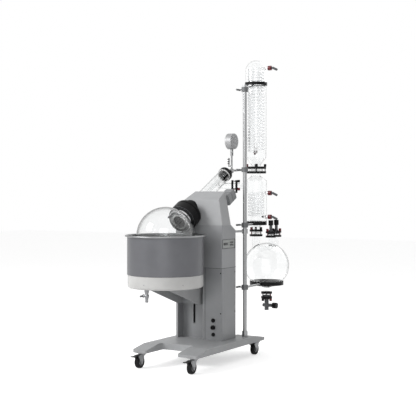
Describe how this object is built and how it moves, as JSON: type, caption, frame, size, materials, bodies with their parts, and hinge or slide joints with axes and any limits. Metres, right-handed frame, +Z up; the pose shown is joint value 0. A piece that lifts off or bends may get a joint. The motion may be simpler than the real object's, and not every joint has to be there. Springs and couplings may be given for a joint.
{
  "type": "rotary evaporator",
  "caption": "Floor-standing rotary evaporator: tilted rotating flask over a lifting heating bath, coil condensers, vacuum gauge and a receiving flask on a wheeled base.",
  "frame": {"origin": "centre of the bounding box in plan, on the floor under the wheels", "axes": "+Z up, front (bath and flask) towards -Y, condensers and receiving flask towards +Y, support rod on the +X side"},
  "size_m": [0.6339, 1.2509, 1.921],
  "materials": {
    "chassis": "glossy grey powder coat",
    "caster_plates": "zinc-plated steel",
    "lower_cabinet": "grey powder coat",
    "upper_cabinet": "grey powder coat",
    "display_panel": "glossy panel film",
    "head_cover": "grey powder coat",
    "bearing_housing": "black satin",
    "vapour_rings": "black moulded",
    "drive_motor": "grey satin",
    "drive_belt": "toothed belt rubber",
    "motor_pulley": "machined",
    "drive_shaft": "machined",
    "flask_clamp": "machined",
    "evaporating_flask": "clear borosilicate",
    "vapour_housing": "clear borosilicate",
    "feed_tube": "clear borosilicate",
    "flange_plates": "black moulded",
    "flange_knobs": "black moulded",
    "red_knobs": "dark red moulded",
    "upper_condenser": "clear borosilicate",
    "upper_coil": "clear borosilicate",
    "lower_condenser": "clear borosilicate",
    "lower_coil": "clear borosilicate",
    "hose_caps": "dark red moulded",
    "hose_barbs": "grey moulded",
    "receiving_flask": "clear borosilicate",
    "valve_bodies": "grey moulded",
    "near_valve_knob": "black moulded",
    "far_valve_knob": "black moulded",
    "outlet_valve_knob": "black moulded",
    "bath_shell": "dark grey satin",
    "bath_pot": "spun stainless steel",
    "bath_skirt": "light warm grey",
    "bath_heater": "steel",
    "drain_valve": "plated brass",
    "drain_handle": "plated",
    "lift_carriage": "grey powder coat",
    "lift_tube": "drawn tube",
    "bath_bracket": "grey powder coat",
    "support_rod": "polished stainless rod",
    "boss_clamps": "grey cast clamp",
    "support_arms": "stainless rod",
    "support_rings": "black coated",
    "gauge_stem": "grey",
    "gauge_case": "grey satin",
    "gauge_needle": "black",
    "panel_fittings": "black moulded",
    "power_button": "black moulded",
    "fork_front_left": "zinc-plated steel",
    "wheel_front_left": "black tread on a grey hub",
    "pedal_front_left": "black moulded",
    "fork_front_right": "zinc-plated steel",
    "wheel_front_right": "black tread on a grey hub",
    "pedal_front_right": "black moulded",
    "fork_rear_left": "zinc-plated steel",
    "wheel_rear_left": "black tread on a grey hub",
    "pedal_rear_left": "black moulded",
    "fork_rear_right": "zinc-plated steel",
    "wheel_rear_right": "black tread on a grey hub",
    "pedal_rear_right": "black moulded"
  },
  "bodies": {
    "root": {"chassis": "chassis", "caster_plates": "caster_plates", "lower_cabinet": "lower_cabinet", "upper_cabinet": "upper_cabinet", "display_panel": "display_panel", "head_cover": "head_cover", "bearing_housing": "bearing_housing", "vapour_rings": "vapour_rings", "drive_motor": "drive_motor", "drive_belt": "drive_belt", "vapour_housing": "vapour_housing", "feed_tube": "feed_tube", "flange_plates": "flange_plates", "flange_knobs": "flange_knobs", "red_knobs": "red_knobs", "upper_condenser": "upper_condenser", "upper_coil": "upper_coil", "lower_condenser": "lower_condenser", "lower_coil": "lower_coil", "hose_caps": "hose_caps", "hose_barbs": "hose_barbs", "receiving_flask": "receiving_flask", "valve_bodies": "valve_bodies", "lift_tube": "lift_tube", "support_rod": "support_rod", "boss_clamps": "boss_clamps", "support_arms": "support_arms", "support_rings": "support_rings", "gauge_stem": "gauge_stem", "gauge_case": "gauge_case", "panel_fittings": "panel_fittings"},
    "lift": {"lift_carriage": "lift_carriage", "bath_bracket": "bath_bracket", "bath_shell": "bath_shell", "bath_pot": "bath_pot", "bath_skirt": "bath_skirt", "bath_heater": "bath_heater", "drain_valve": "drain_valve"},
    "rotor": {"drive_shaft": "drive_shaft", "flask_clamp": "flask_clamp", "evaporating_flask": "evaporating_flask"},
    "motor_pulley": {"motor_pulley": "motor_pulley"},
    "near_valve_knob": {"near_valve_knob": "near_valve_knob"},
    "far_valve_knob": {"far_valve_knob": "far_valve_knob"},
    "outlet_valve_knob": {"outlet_valve_knob": "outlet_valve_knob"},
    "drain_handle": {"drain_handle": "drain_handle"},
    "power_button": {"power_button": "power_button"},
    "gauge_needle": {"gauge_needle": "gauge_needle"},
    "caster_front_left": {"fork_front_left": "fork_front_left"},
    "wheel_front_left": {"wheel_front_left": "wheel_front_left"},
    "pedal_front_left": {"pedal_front_left": "pedal_front_left"},
    "caster_front_right": {"fork_front_right": "fork_front_right"},
    "wheel_front_right": {"wheel_front_right": "wheel_front_right"},
    "pedal_front_right": {"pedal_front_right": "pedal_front_right"},
    "caster_rear_left": {"fork_rear_left": "fork_rear_left"},
    "wheel_rear_left": {"wheel_rear_left": "wheel_rear_left"},
    "pedal_rear_left": {"pedal_rear_left": "pedal_rear_left"},
    "caster_rear_right": {"fork_rear_right": "fork_rear_right"},
    "wheel_rear_right": {"wheel_rear_right": "wheel_rear_right"},
    "pedal_rear_right": {"pedal_rear_right": "pedal_rear_right"}
  },
  "joints": [
    {"name": "bath_lift", "type": "slide", "parent": "root", "child": "lift", "axis": [0, 0, 1], "range_m": [-0.13, 0]},
    {"name": "flask_spin", "type": "hinge", "parent": "root", "child": "rotor", "pos_m": [-0.073, -0.3815, 0.784], "axis": [0, 0.8829, 0.4695], "continuous": true},
    {"name": "motor_pulley_spin", "type": "hinge", "parent": "root", "child": "motor_pulley", "pos_m": [0.111, -0.05393, 0.95817], "axis": [0, 0.8829, 0.4695], "continuous": true},
    {"name": "near_valve_turn", "type": "hinge", "parent": "root", "child": "near_valve_knob", "pos_m": [0.222, 0.4305, 0.84], "axis": [0, 0, 1], "range_deg": [0, 270]},
    {"name": "far_valve_turn", "type": "hinge", "parent": "root", "child": "far_valve_knob", "pos_m": [0.211, 0.5315, 0.84], "axis": [0, 0, 1], "range_deg": [0, 270]},
    {"name": "outlet_valve_turn", "type": "hinge", "parent": "root", "child": "outlet_valve_knob", "pos_m": [0.228, 0.4755, 0.294], "axis": [1, 0, 0], "range_deg": [0, 270]},
    {"name": "drain_lever_turn", "type": "hinge", "parent": "lift", "child": "drain_handle", "pos_m": [-0.096, -0.5795, 0.44], "axis": [1, 0, 0], "range_deg": [0, 90]},
    {"name": "power_button_press", "type": "slide", "parent": "root", "child": "power_button", "axis": [0, 1, 0], "range_m": [0, 0.004], "stiffness_N_per_m": 400},
    {"name": "gauge_needle_turn", "type": "hinge", "parent": "root", "child": "gauge_needle", "pos_m": [-0.069, 0.3865, 1.387], "axis": [1, 0, 0], "range_deg": [-270, 0], "stiffness_Nm_per_rad": 0.001},
    {"name": "swivel_front_left", "type": "hinge", "parent": "root", "child": "caster_front_left", "pos_m": [-0.172, -0.4865, 0.078], "axis": [0, 0, 1], "continuous": true},
    {"name": "roll_front_left", "type": "hinge", "parent": "caster_front_left", "child": "wheel_front_left", "pos_m": [-0.172, -0.5115, 0.0375], "axis": [1, 0, 0], "continuous": true},
    {"name": "brake_front_left", "type": "hinge", "parent": "caster_front_left", "child": "pedal_front_left", "pos_m": [-0.172, -0.5345, 0.074], "axis": [1, 0, 0], "range_deg": [0, 15]},
    {"name": "swivel_front_right", "type": "hinge", "parent": "root", "child": "caster_front_right", "pos_m": [0.194, -0.4865, 0.078], "axis": [0, 0, 1], "continuous": true},
    {"name": "roll_front_right", "type": "hinge", "parent": "caster_front_right", "child": "wheel_front_right", "pos_m": [0.194, -0.5115, 0.0375], "axis": [1, 0, 0], "continuous": true},
    {"name": "brake_front_right", "type": "hinge", "parent": "caster_front_right", "child": "pedal_front_right", "pos_m": [0.194, -0.5345, 0.074], "axis": [1, 0, 0], "range_deg": [0, 15]},
    {"name": "swivel_rear_left", "type": "hinge", "parent": "root", "child": "caster_rear_left", "pos_m": [-0.172, 0.2795, 0.078], "axis": [0, 0, 1], "continuous": true},
    {"name": "roll_rear_left", "type": "hinge", "parent": "caster_rear_left", "child": "wheel_rear_left", "pos_m": [-0.172, 0.2545, 0.0375], "axis": [1, 0, 0], "continuous": true},
    {"name": "brake_rear_left", "type": "hinge", "parent": "caster_rear_left", "child": "pedal_rear_left", "pos_m": [-0.172, 0.2315, 0.074], "axis": [1, 0, 0], "range_deg": [0, 15]},
    {"name": "swivel_rear_right", "type": "hinge", "parent": "root", "child": "caster_rear_right", "pos_m": [0.194, 0.2795, 0.078], "axis": [0, 0, 1], "continuous": true},
    {"name": "roll_rear_right", "type": "hinge", "parent": "caster_rear_right", "child": "wheel_rear_right", "pos_m": [0.194, 0.2545, 0.0375], "axis": [1, 0, 0], "continuous": true},
    {"name": "brake_rear_right", "type": "hinge", "parent": "caster_rear_right", "child": "pedal_rear_right", "pos_m": [0.194, 0.2315, 0.074], "axis": [1, 0, 0], "range_deg": [0, 15]}
  ],
  "couplings": [
    {"joint": "motor_pulley_spin", "follows": "flask_spin", "ratio": 2}
  ]
}
